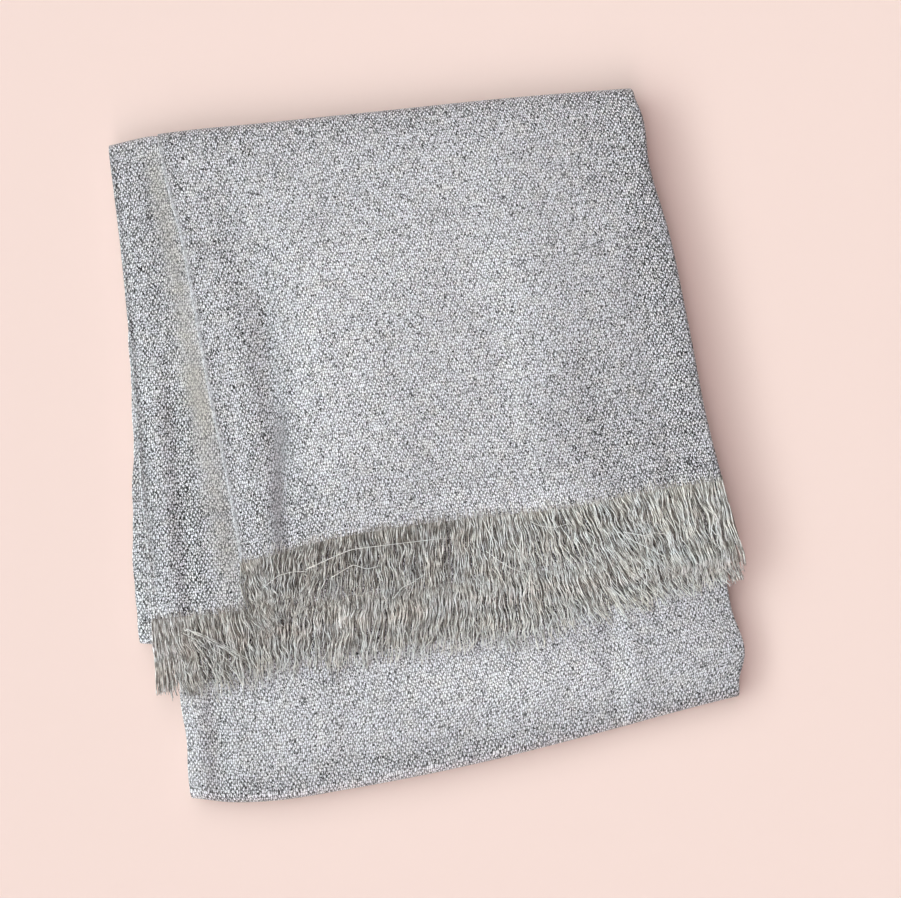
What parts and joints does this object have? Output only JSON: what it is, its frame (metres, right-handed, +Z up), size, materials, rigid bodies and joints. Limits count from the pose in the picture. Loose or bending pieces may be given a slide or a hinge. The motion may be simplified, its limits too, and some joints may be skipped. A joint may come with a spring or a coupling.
{
  "type": "evening stole",
  "caption": "Rectangular woven evening stole with fringed ends, folded lengthwise and then across into a flat packet with its fringes on top.",
  "frame": {"origin": "on the surface the stole lies on, below the middle of its outline", "axes": "+Y across the packet, from its front fold to its back fold; +X along the back fold, from the selvedges to the lengthwise fold; +Z up, through the layers"},
  "size_m": [0.3736, 0.4272, 0.0211],
  "materials": {
    "cloth": "silver-grey metallic weave with a soft glitter",
    "thread": "loose warp threads, a warmer grey"
  },
  "bodies": {
    "root": {"flap_upper_ply": "cloth", "flap_lower_ply": "cloth", "inner_turn": "cloth", "hidden_runs": "cloth", "upper_fringe": "thread", "lower_fringe": "thread"}
  },
  "joints": []
}
